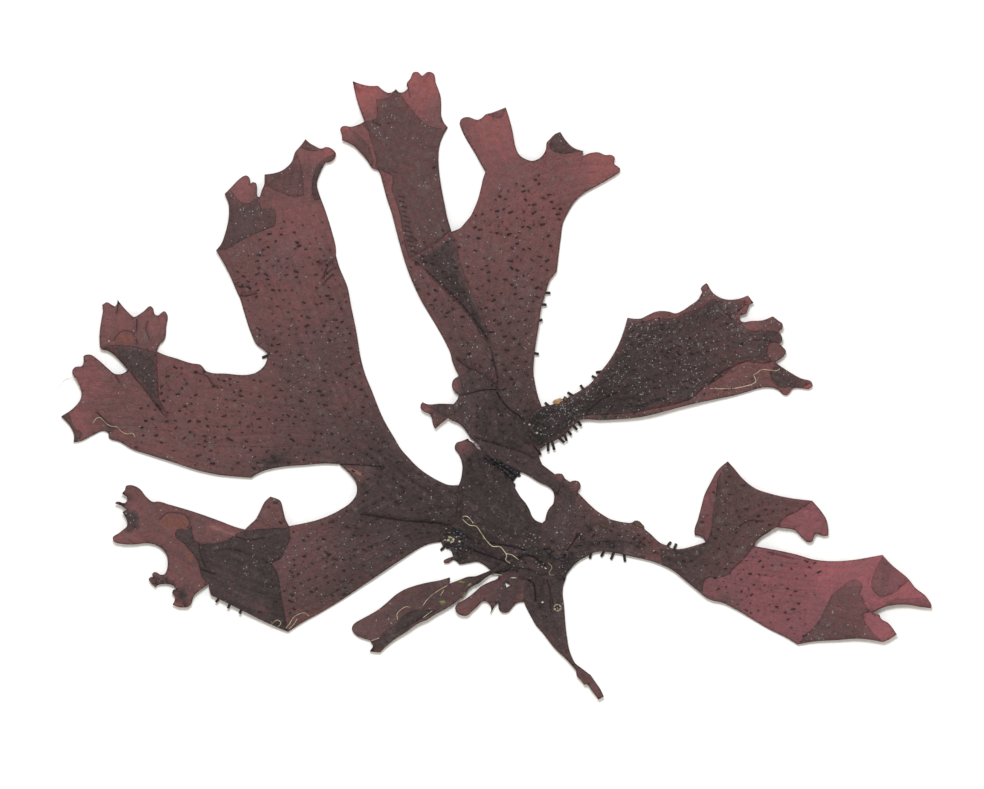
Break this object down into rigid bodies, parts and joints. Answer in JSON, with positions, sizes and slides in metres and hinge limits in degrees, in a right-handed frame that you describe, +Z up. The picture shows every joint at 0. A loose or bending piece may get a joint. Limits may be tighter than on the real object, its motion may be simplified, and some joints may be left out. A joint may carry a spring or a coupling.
{
  "type": "pressed seaweed",
  "caption": "Pressed and dried red seaweed: leathery forked fronds with peg-like papillae, spread flat round one knotted crown, some lobes folded over.",
  "frame": {"origin": "on the crown's flat underside, under the middle of the knotted base", "axes": "+Z up, out of the sheet that the thallus lies on; +X to the right and +Y to the top of the spread thallus as seen from above"},
  "size_m": [0.1483, 0.1069, 0.0037],
  "materials": {
    "crown_thallus": "dried, matt, near black",
    "left_thallus": "dried, matt mauve red",
    "top_thallus": "dried, matt brown mauve",
    "right_upper_thallus": "dried, matt dark brown",
    "right_lower_thallus": "dried, matt rose red",
    "tail_thallus": "dried, matt dark brown",
    "small_blade_thallus": "dried, matt brown mauve",
    "lobes_thallus": "dried, matt dark brown"
  },
  "bodies": {
    "root": {"crown": "crown_thallus", "frond_left": "left_thallus", "frond_top": "top_thallus", "frond_right_upper": "right_upper_thallus", "frond_right_lower": "right_lower_thallus", "frond_tail": "tail_thallus", "small_blade": "small_blade_thallus", "short_lobes": "lobes_thallus"}
  },
  "joints": []
}
